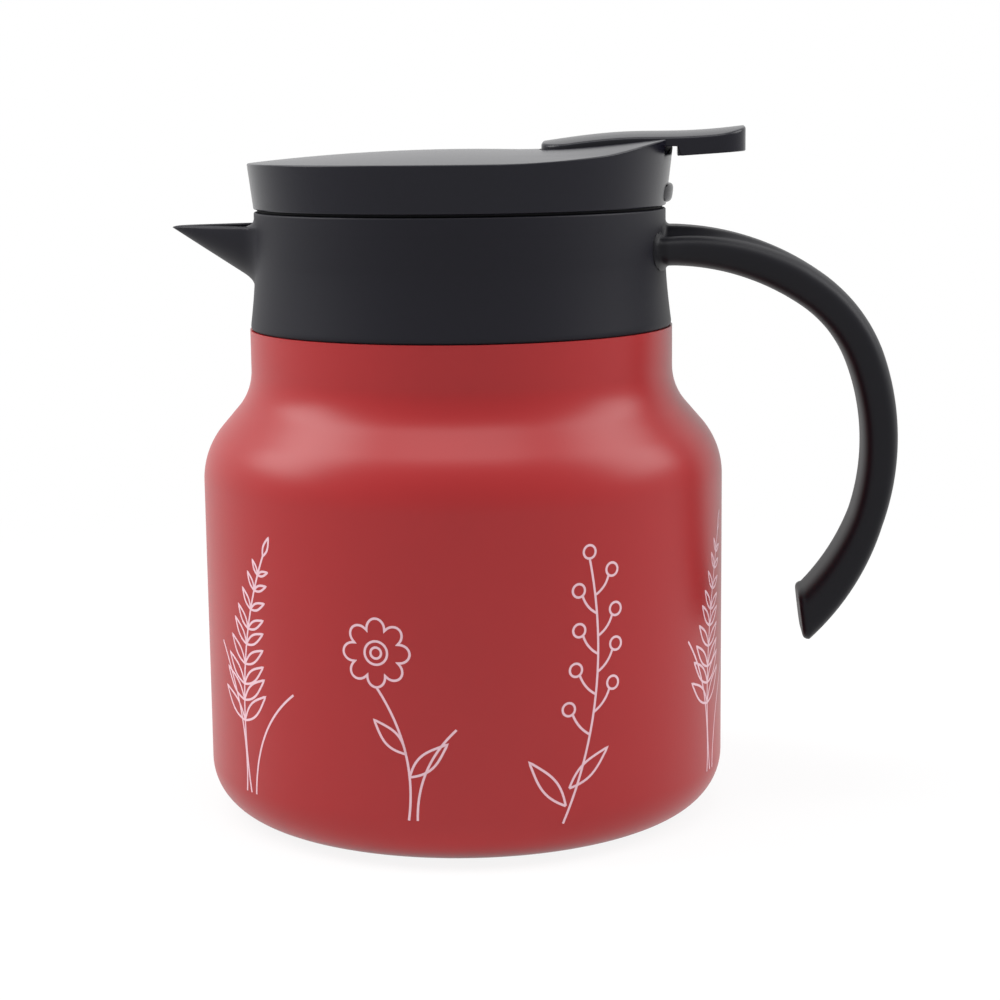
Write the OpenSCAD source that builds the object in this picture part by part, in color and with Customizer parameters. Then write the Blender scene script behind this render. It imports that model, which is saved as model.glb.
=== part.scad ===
// Vacuum-insulated serving jug with a rocker-lever pouring lid.
// Origin: centre of the foot on the jug's upright axis. +Z up, handle toward +X, spout toward -X.

/* [Flask] */
// Outer radius of the steel body
body_r = 63; // [60:0.5:68]
// Height at which the straight body ends and the shoulder begins
shoulder_z = 81; // [70:0.5:110]
// Radius of the rounded bottom corner
foot_round = 12.5; // [8:0.5:16]
// Steepest lean of the shoulder from upright, in degrees
shoulder_slope = 41; // [34:1:45]
// Radius of the shoulder's outward curve
shoulder_round = 19.1; // [15:0.1:24]
// Radius of the inward curve where shoulder meets neck
neck_round = 14.1; // [9:0.1:18]
// Outer radius of the steel neck
neck_r = 50.9; // [49:0.1:53]
// Height of the steel neck that shows between its curve and the collar
neck_show = 9.75; // [5:0.05:20]
// Sheet thickness of the outer shell
shell_t = 0.6; // [0.4:0.05:1]
// Sheet thickness of the inner liner
liner_t = 0.5; // [0.4:0.05:0.8]
// Vacuum gap between outer shell and inner liner
vacuum_gap = 4.4; // [3:0.2:6]
// Distance from the neck's outside in to the liner's mouth
mouth_inset = 13.4; // [12.4:0.1:16]
// Width of the flat ring that the flask stands on
foot_ring_w = 2.2; // [1.6:0.1:4]
// Height of the base plate above the table
base_recess = 2.6; // [2:0.1:5]
// Radius of the pumping hole at the centre of the base plate
pump_hole_r = 1.5; // [1:0.1:2]

/* [Collar and spout] */
// Height of the collar above the seam with the steel neck
collar_h = 27.9; // [25:0.1:40]
// Height from the seam to the flask's mouth, inside the collar
mouth_rise = 3.9; // [3.5:0.1:5]
// Radius lost by the collar's outside between its foot and its top
collar_taper = 1.5; // [0.5:0.1:2]
// Wall of the collar
collar_t = 2.3; // [1.8:0.1:3]
// Height of the pour gutter's floor above the mouth
gutter_rise = 8.6; // [7:0.1:10]
// Height of the ring that stands inside the gutter
throat_ring_h = 2.8; // [1:0.1:4]
// Wall of that ring
throat_ring_t = 1.8; // [1.4:0.1:2.6]
// Reach of the spout's tip from the axis
spout_reach = 70.8; // [60:0.5:80]
// Depth of the spout's top edge below the collar's top
spout_drop = 3.3; // [2:0.1:4.5]
// Depth of the spout where it leaves the collar
spout_depth = 14.6; // [10:0.2:16]
// Half width of the spout where it leaves the collar
spout_half_w = 13; // [9:0.5:16]
// Wall of the spout
spout_t = 1.6; // [1.2:0.1:2]

/* [Handle] */
// Height of the handle's centre line at its root, below the collar's top
handle_drop = 8.6; // [8:0.1:10]
// Distance of the first bend from the axis
handle_lead = 49; // [49:0.5:54]
// Radii of the handle's four bends, from root to tip
handle_bends = [61.4, 35, 59, 58];
// Turn of each bend, in degrees
handle_turns = [35, 35, 38, 36];
// Thickness at the root and at the end of each bend
handle_t = [9.9, 9.1, 9.1, 8.1, 10.7];
// Width of the grip
handle_w = 21; // [16:0.5:26]
// Width of the root where it flares into the collar
handle_root_w = 31; // [26:0.5:36]
// Height that the root's two top ridges add to its thickness
handle_ridge = 1.8; // [0:0.1:2.4]
// Depth of the channel between the two ridges, from the top of the ridges' crown
handle_dish = 3.2; // [0:0.1:4]
// Distance of the cut tip from the axis
handle_tip_x = 82.6; // [78:0.2:84]
// Lean of the cut tip from upright, in degrees
handle_tip_lean = 7; // [0:1:12]
// Radius of the two screws that hold the handle
screw_r = 1.7; // [1.3:0.1:2.2]
// Distance between the two screws
screw_pitch = 13; // [10:0.5:16]

/* [Lid] */
// Gap between collar and lid, filled by the drip seal
seam_gap = 1; // [0.6:0.1:1.6]
// Overhang of the lid's lower edge past the collar's top
lid_overhang = 0.1; // [0:0.1:1]
// Lean of the lid's side from upright, in degrees
lid_flare = 6.9; // [2:0.1:9]
// Height of the lid's rim over its lower edge, on the spout side
rim_h = 10.6; // [9.5:0.1:14]
// Wall of the lid's cover
cover_t = 2; // [1.6:0.1:2.4]
// Rise of the dome over the rim
dome_rise = 2.65; // [2:0.05:5]
// Radius of the upsweep toward the lever
sweep_r = 190; // [150:5:300]
// Distance from the axis at which the upsweep starts
sweep_start = 12; // [5:0.5:20]
// Depth of the plug below the flask's mouth
plug_depth = 10.5; // [6:0.5:20]
// Wall of the plug
plug_t = 2; // [1.6:0.1:2.6]
// Half width of the pour window in the plug
window_half_w = 12; // [6:0.5:15]
// Thickness of the main lid gasket
gasket_t = 1.6; // [1:0.1:2.4]

/* [Lever and valve] */
// Distance of the lever's pin from the axis
pivot_x = 40; // [37:0.5:42]
// Height of the pin over the lid's lower edge
pivot_h = 10; // [9.5:0.1:11]
// Radius of the lever's pin
pin_r = 1.5; // [1.2:0.1:2]
// Running clearance of the lever on its pin, on the radius
pin_play = 0.05; // [0.02:0.01:0.1]
// Distance of the lever's front edge from the axis
lever_front = 20; // [17:0.5:24]
// Distance of the thumb edge from the axis
lever_reach = 68; // [62:0.5:74]
// Half width of the lever
lever_half_w = 13; // [12:0.5:15]
// Thickness of the lever's plate
lever_t = 2; // [1.6:0.1:2.4]
// Height of the lever's front edge over the dome, at its middle
lever_step = 1.7; // [1.6:0.1:2.6]
// Rise of the lever from its front edge to its crest
lever_rise = 2.15; // [2:0.05:3]
// Upturn of the thumb edge over the crest
thumb_rise = 1.25; // [0:0.05:1.5]
// Radius of the lever's crown from side to side
lever_crown_r = 29; // [24:1:60]
// Travel of the lever, in degrees
lever_travel = 7; // [4:0.5:7.5]
// Radius of the valve's seat hole in the plug floor
seat_r = 14; // [9:0.5:18]
// Radius of the valve's stem
stem_r = 2.4; // [1.8:0.1:3]
// Wire radius of the valve's spring
wire_r = 0.4; // [0.3:0.05:0.6]
// Number of turns of the valve's spring
spring_turns = 6; // [4:1:9]

/* [Hidden] */
$fn = 96;
eps = 0.01;
far = 200;
over = 20;

// Heights, from the foot up
bends_r = shoulder_round + neck_round;
lean = min(shoulder_slope, acos(max(0, 1 - (body_r - neck_r) / bends_r)));
slope_len = (body_r - neck_r - bends_r * (1 - cos(lean))) / sin(lean);
neck_z = shoulder_z + bends_r * sin(lean) + slope_len * cos(lean);
seam_z = neck_z + neck_show;
mouth_z = seam_z + mouth_rise;
gutter_z = mouth_z + gutter_rise;
collar_z = seam_z + collar_h;
lid_z = collar_z + seam_gap;
rim_z = lid_z + rim_h;
dome_z = rim_z + dome_rise;
spout_z = collar_z - spout_drop;
pivot_z = lid_z + pivot_h;

// Radii, from the mouth out
fit_gap = 0.3;
mouth_r = neck_r - mouth_inset;
plug_low_r = mouth_r - 0.9;
throat_r = mouth_r + 2.1;
plug_r = throat_r - fit_gap;
step_r = neck_r - 2.2;
weld_r = (mouth_r + step_r) / 2;
collar_top_r = neck_r - 0.1 - collar_taper;
gutter_r = collar_top_r - collar_t;
lid_r = collar_top_r + lid_overhang;
shelf_t = 0.8;
liner_gap = shell_t + vacuum_gap;

// Points along an arc about (cx, cz), from angle a to angle b
function arc(cx, cz, r, a, b, n = 8) =
    [for (i = [0:n]) [cx + r * cos(a + (b - a) * i / n), cz + r * sin(a + (b - a) * i / n)]];
function flip(p) = [for (i = [len(p) - 1:-1:0]) p[i]];

// Side of the flask from foot to neck, set in by g all along
function flask_side(g, corner) = concat(
    arc(body_r - corner, corner, corner - g, -90, 0, 10),
    arc(body_r - shoulder_round, shoulder_z, shoulder_round - g, 0, lean, 10),
    arc(neck_r + neck_round, neck_z, neck_round + g, 180 + lean, 180, 8));

module turned(points) {
    rotate_extrude($fn = 96) polygon(points);
}

module outer_shell() {
    foot_r = body_r - foot_round;
    hem_r = foot_r - foot_ring_w;
    color([0.62, 0.13, 0.16]) turned(concat(
        [[hem_r, base_recess], [hem_r, 0]],
        flask_side(0, foot_round),
        [[neck_r, seam_z], [step_r, seam_z], [step_r, mouth_z], [weld_r, mouth_z],
            [weld_r, mouth_z - shell_t], [step_r - shell_t, mouth_z - shell_t],
            [step_r - shell_t, seam_z - shell_t], [neck_r - shell_t, seam_z - shell_t]],
        flip(flask_side(shell_t, foot_round)),
        [[hem_r + shell_t, shell_t], [hem_r + shell_t, base_recess]]));
}

// Recessed bottom plate with a pressed ring and a dimple for the pumping hole
module outer_base() {
    rim_r = body_r - foot_round - foot_ring_w + shell_t;
    boss_r = rim_r * 0.45;
    boss_h = 1;
    dimple_r = pump_hole_r + 4;
    color([0.72, 0.72, 0.74]) turned(
        let (under = [[pump_hole_r, boss_h + 0.8], [dimple_r, boss_h], [boss_r, boss_h],
            [boss_r + 2 * boss_h, 0], [rim_r, 0]])
        concat([for (p = under) [p[0], base_recess + p[1]]],
            [for (p = flip(under)) [p[0], base_recess + shell_t + p[1]]]));
}

// Bead that closes the pumping hole
module vacuum_seal() {
    bead_z = base_recess + 1.8;
    color([0.55, 0.55, 0.57]) turned([[0, bead_z], [pump_hole_r, bead_z],
        [pump_hole_r, bead_z + shell_t], [pump_hole_r + 1.5, bead_z + shell_t],
        [pump_hole_r, bead_z + shell_t + 1], [0, bead_z + shell_t + 1.4]]);
}

module inner_liner() {
    in = liner_gap + liner_t;
    corner = foot_round + liner_gap;
    floor_z = liner_gap + base_recess;
    throat_z = mouth_z - 8;
    lip_round = 0.6;
    side = function (g) [for (p = flask_side(g, corner)) if (p[1] < throat_z - 5)
        [p[0], p[1] < shoulder_z ? max(p[1], g + base_recess) : p[1]]];
    color([0.74, 0.74, 0.76]) turned(concat(
        [[0, floor_z]],
        side(liner_gap),
        [[mouth_r + liner_t, throat_z], [mouth_r + liner_t, mouth_z - shell_t],
            [weld_r, mouth_z - shell_t], [weld_r, mouth_z], [mouth_r + lip_round, mouth_z]],
        arc(mouth_r + lip_round, mouth_z - lip_round, lip_round, 90, 180, 5),
        [[mouth_r, throat_z]],
        flip(side(in)),
        [[0, floor_z + liner_t]]));
}

// Heat-reflecting foil wrapped on the liner inside the vacuum
module radiation_foil() {
    foil_t = 0.15;
    r = body_r - liner_gap;
    low = foot_round + 7;
    color([0.72, 0.45, 0.3]) translate([0, 0, low]) difference() {
        cylinder(r = r + foil_t, h = shoulder_z - low);
        translate([0, 0, -1]) cylinder(r = r, h = shoulder_z - low + 2);
    }
}

// Pellet on the base plate that keeps the vacuum
module getter() {
    color([0.45, 0.45, 0.47]) translate([body_r * 0.55, 0, base_recess + shell_t])
        cylinder(r = 5, h = 1.6);
}

// Half-beak solid: rings of a pointed trough from the collar to the tip, set in by g
module beak(g, top, back) {
    steps = 10;
    around = 12;
    run = spout_reach - back;
    half_w = function (s) max((spout_half_w + 2) * pow(1 - s, 0.85) - g * 1.2, 0.25);
    depth = function (s) max((spout_depth + 1.2) * (1 - s) - g * 1.3, 0.25);
    ring = function (s) [for (k = [0:around]) let (a = 180 * k / around)
        [-back - run * s + g * 1.2 * s, half_w(s) * cos(a), spout_z - depth(s) * pow(sin(a), 0.8)]];
    lid_ring = function (s) [for (y = [-half_w(s), half_w(s)]) [-back - run * s + g * 1.2 * s, y, top]];
    n = around + 3;
    points = [for (i = [0:steps]) each concat(ring(i / steps), lid_ring(i / steps))];
    sides = [for (i = [0:steps - 1], k = [0:n - 1])
        [i * n + k, (i + 1) * n + k, (i + 1) * n + (k + 1) % n, i * n + (k + 1) % n]];
    polyhedron(points, concat(sides, [[for (k = [0:n - 1]) k], [for (k = [n - 1:-1:0]) steps * n + k]]),
        convexity = 4);
}

// Screws of the handle: head, the face it seats on and the length past that face
head_r = screw_r * 1.8;
head_t = 1.4;
screw_seat_x = gutter_r + 0.4;
screw_bite = 13;

// Outside radius of the collar at height z
function collar_out(z) = collar_top_r
    + collar_taper * pow(max(0, 1 - (z - seam_z) / (collar_h * 0.57)), 1.5);

module collar() {
    foot_z = seam_z + 0.15;
    shelf_z = mouth_z + shelf_t;
    edge = 0.5;
    rows = [for (i = [0:8]) foot_z + (collar_z - edge - foot_z) * pow(i / 8, 1.3)];
    color([0.1, 0.1, 0.11]) difference() {
        union() {
            turned(concat(
                [[throat_r, shelf_z], [step_r + 0.15, shelf_z], [step_r + 0.15, foot_z]],
                [for (z = rows) [collar_out(z), z]],
                [[collar_top_r - edge, collar_z], [gutter_r + edge, collar_z],
                    [gutter_r, collar_z - edge]],
                arc(gutter_r - 2, gutter_z + 2, 2, 0, -90, 5),
                [[throat_r + throat_ring_t, gutter_z],
                    [throat_r + throat_ring_t, gutter_z + throat_ring_h],
                    [throat_r, gutter_z + throat_ring_h]]));
            difference() {
                beak(0, spout_z + eps, gutter_r - 1);
                cylinder(r = gutter_r + collar_t / 2, h = far);
            }
        }
        intersection() {
            beak(spout_t, collar_z + 5, gutter_r - 3);
            union() {
                translate([0, 0, gutter_z]) cylinder(r = far, h = spout_z - gutter_z - 1);
                difference() {
                    translate([0, 0, gutter_z]) cylinder(r = far, h = far);
                    cylinder(r = collar_top_r + 0.4, h = 2 * far);
                }
            }
        }
        for (side = [-1, 1]) translate([0, side * screw_pitch / 2, collar_z - handle_drop])
            rotate([0, 90, 0]) {
                cylinder(r = screw_r + 0.2, h = far, $fn = 32);
                cylinder(r = head_r + 0.3, h = screw_seat_x, $fn = 32);
            }
    }
}

module collar_seal() {
    color([0.85, 0.85, 0.83]) translate([0, 0, mouth_z]) difference() {
        cylinder(r = weld_r + 1, h = shelf_t);
        translate([0, 0, -1]) cylinder(r = throat_r + 0.5, h = shelf_t + 2);
    }
}

// Handle centre line: [x, z, heading] after each bend, then points along it
handle_root = [45, collar_z - handle_drop, 0];
function bend_end(s, r, a) = [s[0] + r * (sin(s[2] + a) - sin(s[2])),
    s[1] - r * (cos(s[2]) - cos(s[2] + a)), s[2] + a];
handle_knots = [for (i = 0, s = [handle_lead, handle_root[1], 0]; i <= 4;
    s = i < 4 ? bend_end(s, handle_bends[i], handle_turns[i]) : s, i = i + 1) s];
bend_steps = 7;
handle_path = concat(
    [for (i = [0:2]) [handle_root[0] + (handle_lead - handle_root[0]) * i / 3, handle_root[1], 0,
        handle_t[0]]],
    [for (b = [0:3], i = [0:bend_steps - 1]) let (u = i / bend_steps,
        s = bend_end(handle_knots[b], handle_bends[b], handle_turns[b] * u))
        [s[0], s[1], s[2], handle_t[b] + (handle_t[b + 1] - handle_t[b]) * u]],
    [concat(handle_knots[4], [handle_t[4]])]);

// One cross-section of the handle: a rounded bar, dished along the top near the root
function handle_ring(s) = let (
    flare = max(0, 1 - (s[0] - collar_top_r) / 26) * (s[2] < 60 ? 1 : 0),
    half_w = handle_w / 2 + (handle_root_w - handle_w) / 2 * pow(min(flare, 1), 2),
    n = 20)
    [for (k = [0:n - 1]) let (a = 360 * k / n,
        u = half_w * sign(cos(a)) * pow(abs(cos(a)), 0.6),
        f = sin(a) > 0 ? min(flare, 1) : 0,
        v = (s[3] / 2 + handle_ridge * f) * sign(sin(a)) * pow(abs(sin(a)), 0.6)
            - handle_dish * f * (1 - pow(u / half_w, 2)))
        [s[0] + v * sin(s[2]), u, s[1] + v * cos(s[2])]];

module handle() {
    n = 20;
    last = len(handle_path) - 1;
    rings = [for (s = handle_path) each handle_ring(s)];
    sides = [for (i = [0:last - 1], k = [0:n - 1])
        [i * n + k, (i + 1) * n + k, (i + 1) * n + (k + 1) % n, i * n + (k + 1) % n]];
    color([0.1, 0.1, 0.11]) difference() {
        polyhedron(rings, concat(sides, [[for (k = [0:n - 1]) k], [for (k = [n - 1:-1:0]) last * n + k]]),
            convexity = 6);
        turned(concat([[0, seam_z - over]], [for (i = [0:8]) let (z = seam_z - over
            + (collar_h + 2 * over) * i / 8) [collar_out(z) + 0.02, z]], [[0, collar_z + over]]));
        translate([handle_tip_x, 0, handle_knots[4][1]]) rotate([0, -handle_tip_lean, 0])
            translate([-far, -far / 2, -far / 2]) cube([far, far, far / 2 + handle_bends[3] / 2]);
        for (side = [-1, 1]) translate([0, side * screw_pitch / 2, handle_root[1]])
            rotate([0, 90, 0]) cylinder(r = screw_r, h = screw_seat_x + screw_bite + 0.5, $fn = 32);
    }
}

// Two pan-head screws, driven from the gutter into the handle
module handle_screws() {
    color([0.7, 0.7, 0.72]) for (side = [-1, 1])
        translate([0, side * screw_pitch / 2, collar_z - handle_drop]) rotate([0, 90, 0]) {
            translate([0, 0, screw_seat_x - head_t]) cylinder(r = head_r, h = head_t, $fn = 32);
            translate([0, 0, screw_seat_x]) cylinder(r = screw_r, h = screw_bite, $fn = 32);
        }
}

module lid_gasket() {
    color([0.85, 0.85, 0.83]) translate([0, 0, mouth_z]) difference() {
        cylinder(r = plug_r, h = gasket_t);
        translate([0, 0, -1]) cylinder(r = plug_low_r + fit_gap, h = gasket_t + 2);
    }
}

module drip_seal() {
    color([0.12, 0.12, 0.13]) translate([0, 0, collar_z]) difference() {
        cylinder(r = collar_top_r - 0.8, h = seam_gap);
        translate([0, 0, -1]) cylinder(r = gutter_r - 0.8, h = seam_gap + 2);
    }
}

// Space under the lid's top surface: a profile along X turned about a far axis, so it crowns sideways
module under_top(drop) {
    crown = (lid_r * lid_r + dome_rise * dome_rise) / (2 * dome_rise);
    top = function (x) dome_z + (x > sweep_start ? pow(x - sweep_start, 2) / (2 * sweep_r) : 0)
        - dome_rise * pow(x / lid_r, 2) - drop;
    xs = [for (i = [-14:14]) (lid_r + 9) * i / 14];
    translate([0, 0, dome_z - crown]) rotate([0, 90, 0]) rotate([0, 0, 170])
        rotate_extrude(angle = 20, $fn = 720)
            polygon(concat([[crown / 2, xs[0]]],
                [for (x = xs) [crown + top(x) - dome_z, x]], [[crown / 2, xs[len(xs) - 1]]]));
}

module lid_side(inset, low, high) {
    translate([0, 0, low]) cylinder(r1 = lid_r - inset + (low - lid_z) * tan(lid_flare),
        r2 = lid_r - inset + (high - lid_z) * tan(lid_flare), h = high - low);
}

// Opening for the lever in the cover
slot_gap = 0.5;
slot_floor = pivot_z + 0.4;

module lid_cover() {
    edge = 1;
    color([0.1, 0.1, 0.11]) difference() {
        union() {
            intersection() {
                union() {
                    lid_side(0, lid_z + edge, lid_z + rim_h + over);
                    translate([0, 0, lid_z]) cylinder(r1 = lid_r - edge, r2 = lid_r + 0.12, h = edge + eps);
                }
                under_top(0);
            }
            // small rounded tab that lines the lid up with the handle
            intersection() {
                lid_side(-1.3, lid_z + 0.4, lid_z + 4.6);
                translate([lid_r - 4, 0, lid_z + 0.4]) hull() for (side = [-1, 1])
                    translate([0, side * 6, 0]) cylinder(r = 3, h = 4.2, $fn = 32);
                translate([lid_r - 2, -9, 0]) cube([6, 18, far]);
            }
        }
        intersection() {
            lid_side(cover_t, lid_z - 1, lid_z + rim_h + over);
            under_top(cover_t);
        }
        lever_plan(slot_gap, slot_floor);
    }
}

// Cup that carries the valve's seat, with a pour window toward the spout
module lid_plug() {
    floor_z = mouth_z - plug_depth;
    step_z = mouth_z + gasket_t;
    flange_r = lid_r - cover_t;
    color([0.12, 0.12, 0.13]) difference() {
        turned([[seat_r, floor_z], [plug_low_r - 1, floor_z], [plug_low_r, floor_z + 1],
            [plug_low_r, step_z], [plug_r, step_z], [plug_r, lid_z], [flange_r, lid_z],
            [flange_r, lid_z + 1.6], [plug_r - plug_t, lid_z + 1.6], [plug_r - plug_t, step_z + 2],
            [plug_low_r - plug_t, step_z], [plug_low_r - plug_t, floor_z + plug_t + 1],
            [plug_low_r - plug_t - 1, floor_z + plug_t], [seat_r + 4, floor_z + plug_t],
            [seat_r + 3, floor_z + plug_t + 0.6], [seat_r, floor_z + plug_t + 0.6]]);
        translate([-far, -window_half_w, gutter_z + throat_ring_h])
            cube([far, 2 * window_half_w, collar_z - 3 - gutter_z - throat_ring_h]);
    }
}

// Partition over the pour chamber, with the stem's guide and the ears that hold the pin
ear_gap = 15;
ear_t = 2.2;
deck_z = lid_z - 1.8;
deck_t = 1.6;
well_r = plug_r - plug_t;
bench_z = lid_z + 1.6;

module lid_deck() {
    ear_r = pin_r + 1.4;
    color([0.14, 0.14, 0.15]) difference() {
        union() {
            turned([[stem_r + 0.1, deck_z - 1.6], [stem_r + 2.6, deck_z - 1.6], [stem_r + 2.6, deck_z],
                [well_r, deck_z], [well_r, bench_z], [lid_r - cover_t, bench_z],
                [lid_r - cover_t, bench_z + deck_t], [well_r - deck_t, bench_z + deck_t],
                [well_r - deck_t, deck_z + deck_t], [stem_r + 0.1, deck_z + deck_t]]);
            for (side = [-1, 1]) translate([pivot_x, side * (ear_gap / 2 + ear_t / 2), 0])
                rotate([90, 0, 0]) linear_extrude(ear_t, center = true) union() {
                    translate([0, pivot_z]) circle(r = ear_r, $fn = 48);
                    polygon([[-ear_r - 1, bench_z + deck_t - eps], [ear_r + 1, bench_z + deck_t - eps],
                        [ear_r, pivot_z], [-ear_r, pivot_z]]);
                }
        }
        translate([pivot_x, 0, pivot_z]) rotate([90, 0, 0])
            cylinder(r = pin_r, h = ear_gap + 4 * ear_t, center = true, $fn = 48);
    }
}

module stem_seal() {
    color([0.85, 0.85, 0.83]) translate([0, 0, deck_z - 3]) difference() {
        cylinder(r = stem_r + 2.6, h = 1.4, $fn = 48);
        translate([0, 0, -1]) cylinder(r = stem_r + 0.08, h = 4, $fn = 48);
    }
}

module lever_pin() {
    color([0.72, 0.72, 0.74]) translate([pivot_x, 0, pivot_z]) rotate([90, 0, 0])
        cylinder(r = pin_r, h = ear_gap + 2 * ear_t, center = true, $fn = 48);
}

// Height of the lever's crest along its length
nose_r = 1.6;
prong_in = stem_r + 0.9;
nose_z = lid_z + 2.9;
lift = pivot_x * lever_travel * PI / 180;
function lever_crest(x) = let (
    u = (x - lever_front) / (lever_reach - lever_front),
    w = max(0, u - 0.62) / 0.38)
    dome_z + lever_step + lever_rise * sin(90 * min(1, u / 0.5))
    + thumb_rise * pow(w, 2);

module lever_plan(grow, low = lid_z) {
    corner = 5;
    nose = 7;
    translate([0, 0, low]) linear_extrude(far) hull() {
        for (side = [-1, 1]) {
            translate([lever_front + nose, side * (lever_half_w - nose)])
                circle(r = nose + grow, $fn = 32);
            translate([lever_reach - corner, side * (lever_half_w - corner)])
                circle(r = corner + grow, $fn = 32);
        }
    }
}

module lever_under(drop) {
    xs = [for (i = [0:16]) lever_front - 2 + (lever_reach - lever_front + 4) * i / 16];
    base = dome_z - lever_crown_r;
    translate([0, 0, base]) rotate([0, 90, 0]) rotate([0, 0, 110])
        rotate_extrude(angle = 140, $fn = 144)
            polygon(concat([[2, xs[0]]],
                [for (x = xs) [lever_crest(min(max(x, lever_front), lever_reach)) - base - drop, x]],
                [[2, xs[16]]]));
}

module lever() {
    hub_r = pin_r + 1.5;
    hub_half = ear_gap / 2 - 0.3;
    skirt_x = lid_r + (rim_h + 4) * tan(lid_flare) + 0.9;
    skirt_z = pivot_z + 1.6;
    color([0.1, 0.1, 0.11]) difference() {
        union() {
            difference() {
                intersection() {
                    lever_plan(0);
                    lever_under(0);
                }
                lever_under(lever_t);
            }
            // thumb end: the plate's edge turned down behind the rim
            difference() {
                intersection() {
                    lever_plan(0);
                    lever_under(0);
                    translate([skirt_x, -far / 2, skirt_z]) cube([far, far, far]);
                }
                intersection() {
                    lever_plan(-1.6);
                    translate([0, -far / 2, 0]) cube([lever_reach - 1.6, far, far]);
                    lever_under(lever_t);
                    translate([skirt_x + 1.6, -far / 2, 0]) cube([far, far, far]);
                }
            }
            // hub on the pin and the web that joins it to the plate
            intersection() {
                union() {
                    translate([pivot_x, 0, pivot_z]) rotate([90, 0, 0])
                        cylinder(r = hub_r, h = 2 * hub_half, center = true, $fn = 48);
                    translate([pivot_x - hub_r, -hub_half, pivot_z]) cube([2 * hub_r, 2 * hub_half, 9]);
                }
                lever_under(lever_t / 2);
            }
            // forked arm to the valve's stem
            for (side = [-1, 1]) translate([0, side * (prong_in + 1.9), 0]) rotate([90, 0, 0])
                linear_extrude(3.8, center = true) union() {
                    translate([0, nose_z]) circle(r = nose_r, $fn = 32);
                    polygon([[0, nose_z - nose_r], [24, nose_z - nose_r], [pivot_x, pivot_z - hub_r],
                        [pivot_x, pivot_z + hub_r], [30, pivot_z - 0.5], [20, nose_z + nose_r],
                        [0, nose_z + nose_r]]);
                }
        }
        translate([pivot_x, 0, pivot_z]) rotate([90, 0, 0])
            cylinder(r = pin_r + pin_play, h = 3 * hub_half, center = true, $fn = 48);
    }
}

// Valve: the disc closes the seat from above, the lever's fork lifts the cap on the stem
disc_z = mouth_z - plug_depth + plug_t + 0.6;
valve_gasket_t = 1.2;
valve_disc_t = 1.8;
valve_wall = 1.4;
seat_lap = 3;
spring_r = stem_r + 2.1;
cap_z = nose_z + nose_r + 0.3;

module valve_stem() {
    color([0.86, 0.86, 0.86]) translate([0, 0, disc_z + valve_gasket_t])
        cylinder(r = stem_r, h = cap_z - disc_z - valve_gasket_t + 1, $fn = 48);
}

module stem_cap() {
    color([0.86, 0.86, 0.86]) translate([0, 0, cap_z]) difference() {
        cylinder(r = prong_in + 3.7, h = 1.3, $fn = 48);
        translate([0, 0, -1]) cylinder(r = stem_r, h = 2, $fn = 48);
    }
}

module valve_disc() {
    low = disc_z + valve_gasket_t;
    top = low + valve_disc_t;
    socket_r = stem_r + valve_wall;
    cup_r = spring_r + wire_r + valve_wall / 2;
    edge = valve_disc_t / 2;
    color([0.14, 0.14, 0.15]) turned([[stem_r, low], [seat_r + seat_lap, low],
        [seat_r + seat_lap, top - edge], [seat_r + seat_lap - edge, top], [cup_r + valve_wall, top],
        [cup_r + valve_wall, top + valve_wall], [cup_r, top + valve_wall], [cup_r, top],
        [socket_r, top], [socket_r, top + 2 * valve_wall], [stem_r, top + 2 * valve_wall]]);
}

module valve_gasket() {
    color([0.85, 0.85, 0.83]) translate([0, 0, disc_z]) difference() {
        cylinder(r = seat_r + seat_lap, h = valve_gasket_t);
        translate([0, 0, -1]) cylinder(r = seat_r - seat_lap, h = valve_gasket_t + 2);
    }
}

// Coil between the disc and the deck: one wire swept along a helix
module valve_spring() {
    low = disc_z + valve_gasket_t + valve_disc_t + wire_r;
    high = deck_z - 3 - wire_r;
    per_turn = 16;
    n = 6;
    count = spring_turns * per_turn;
    points = [for (i = [0:count], k = [0:n - 1]) let (a = 360 * i / per_turn, b = 360 * k / n)
        [(spring_r + wire_r * cos(b)) * cos(a), (spring_r + wire_r * cos(b)) * sin(a),
            low + (high - low) * i / count + wire_r * sin(b)]];
    sides = [for (i = [0:count - 1], k = [0:n - 1])
        [i * n + k, i * n + (k + 1) % n, (i + 1) * n + (k + 1) % n, (i + 1) * n + k]];
    color([0.78, 0.78, 0.8]) polyhedron(points,
        concat(sides, [[for (k = [n - 1:-1:0]) k], [for (k = [0:n - 1]) count * n + k]]), convexity = 10);
}

outer_shell();
outer_base();
vacuum_seal();
inner_liner();
radiation_foil();
getter();
collar();
collar_seal();
handle();
handle_screws();
lid_gasket();
drip_seal();
lid_cover();
lid_plug();
lid_deck();
stem_seal();
lever_pin();
lever();
valve_stem();
stem_cap();
valve_disc();
valve_gasket();
valve_spring();
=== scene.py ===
import math

import bmesh
import bpy
import numpy as np
from mathutils import Matrix, Vector


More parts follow.
